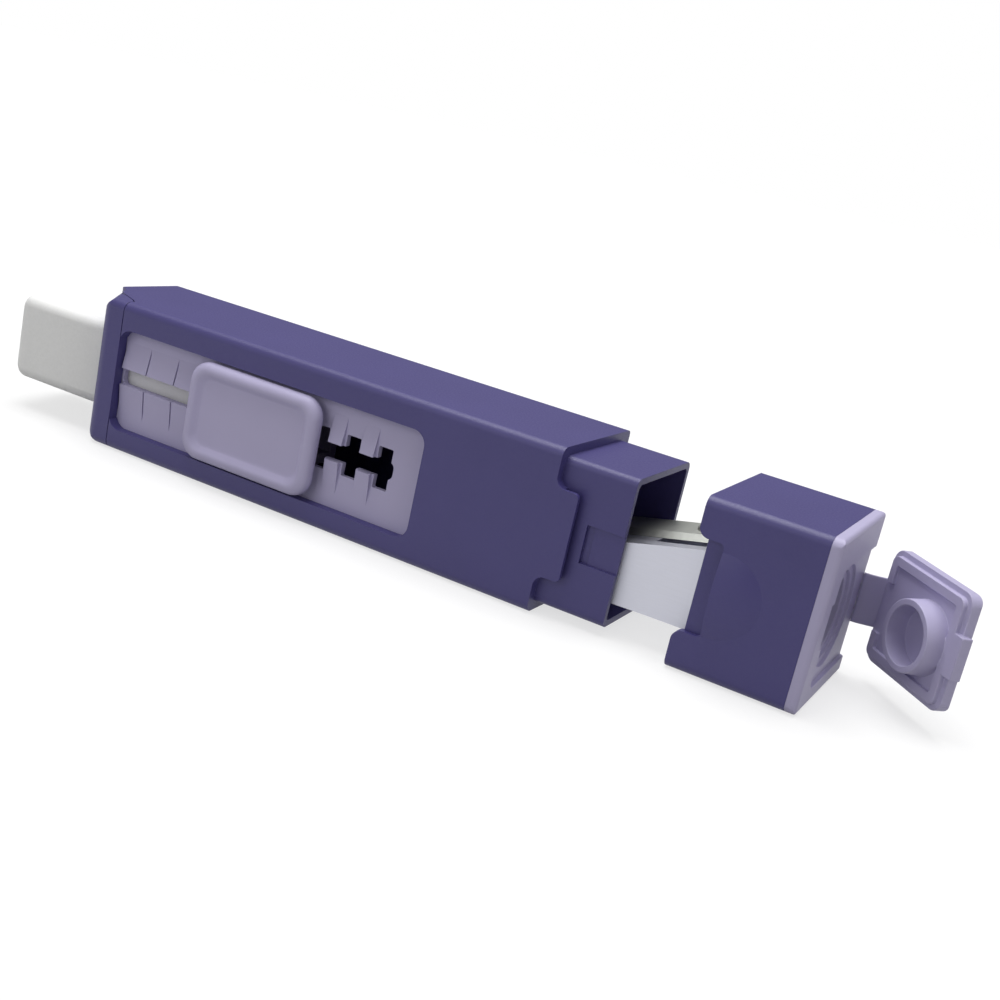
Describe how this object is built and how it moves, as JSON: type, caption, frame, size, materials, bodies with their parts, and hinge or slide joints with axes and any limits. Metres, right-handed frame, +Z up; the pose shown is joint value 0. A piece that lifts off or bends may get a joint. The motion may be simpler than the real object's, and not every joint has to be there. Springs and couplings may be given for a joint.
{
  "type": "pencil eraser stick with sharpener",
  "caption": "Square plastic eraser stick: a push button slides the eraser out of one end, and a pull-off cap at the other end holds a wedge pencil sharpener behind a small hinged lid.",
  "frame": {"origin": "middle of the casing's bottom face, halfway between the nose and the shoulder that the cap meets", "axes": "+X along the stick from the eraser to the lid, -Y faces the window and the button, +Z up from the face it lies on"},
  "size_m": [0.1354, 0.0221, 0.02],
  "materials": {
    "dark_plastic": "satin moulded dark purple plastic",
    "pale_plastic": "satin moulded lavender plastic",
    "eraser_vinyl": "matt white vinyl",
    "wedge_metal": "satin light metal",
    "blade_steel": "ground steel",
    "spring_steel": "rolled spring steel"
  },
  "bodies": {
    "stick": {"main_casing": "dark_plastic", "nose_frame": "dark_plastic", "track_plate": "pale_plastic"},
    "slider": {"eraser_carrier": "pale_plastic", "eraser": "eraser_vinyl", "return_leaf": "spring_steel"},
    "button": {"slider_button": "pale_plastic"},
    "cap": {"cap_shell": "dark_plastic", "end_bezel": "pale_plastic", "hinge_strap": "pale_plastic", "sharpener_body": "wedge_metal", "sharpener_blade": "blade_steel", "blade_screw": "blade_steel"},
    "lid_body": {"lid": "pale_plastic"}
  },
  "joints": [
    {"name": "eraser_slide", "type": "slide", "parent": "stick", "child": "slider", "axis": [1, 0, 0], "range_m": [-0.0124, 0.0132]},
    {"name": "button_press", "type": "slide", "parent": "slider", "child": "button", "axis": [0, 1, 0], "range_m": [0, 0.0005], "stiffness_N_per_m": 400, "springref_m": -0.001, "deforming": ["return_leaf"]},
    {"name": "cap_pull", "type": "slide", "parent": "stick", "child": "cap", "axis": [1, 0, 0], "range_m": [-0.0173, 0]},
    {"name": "lid_hinge", "type": "hinge", "parent": "cap", "child": "lid_body", "pos_m": [0.0695, 0.01215, 0.009], "axis": [0, 0, 1], "range_deg": [-44.3, 66], "deforming": ["hinge_strap"]}
  ]
}
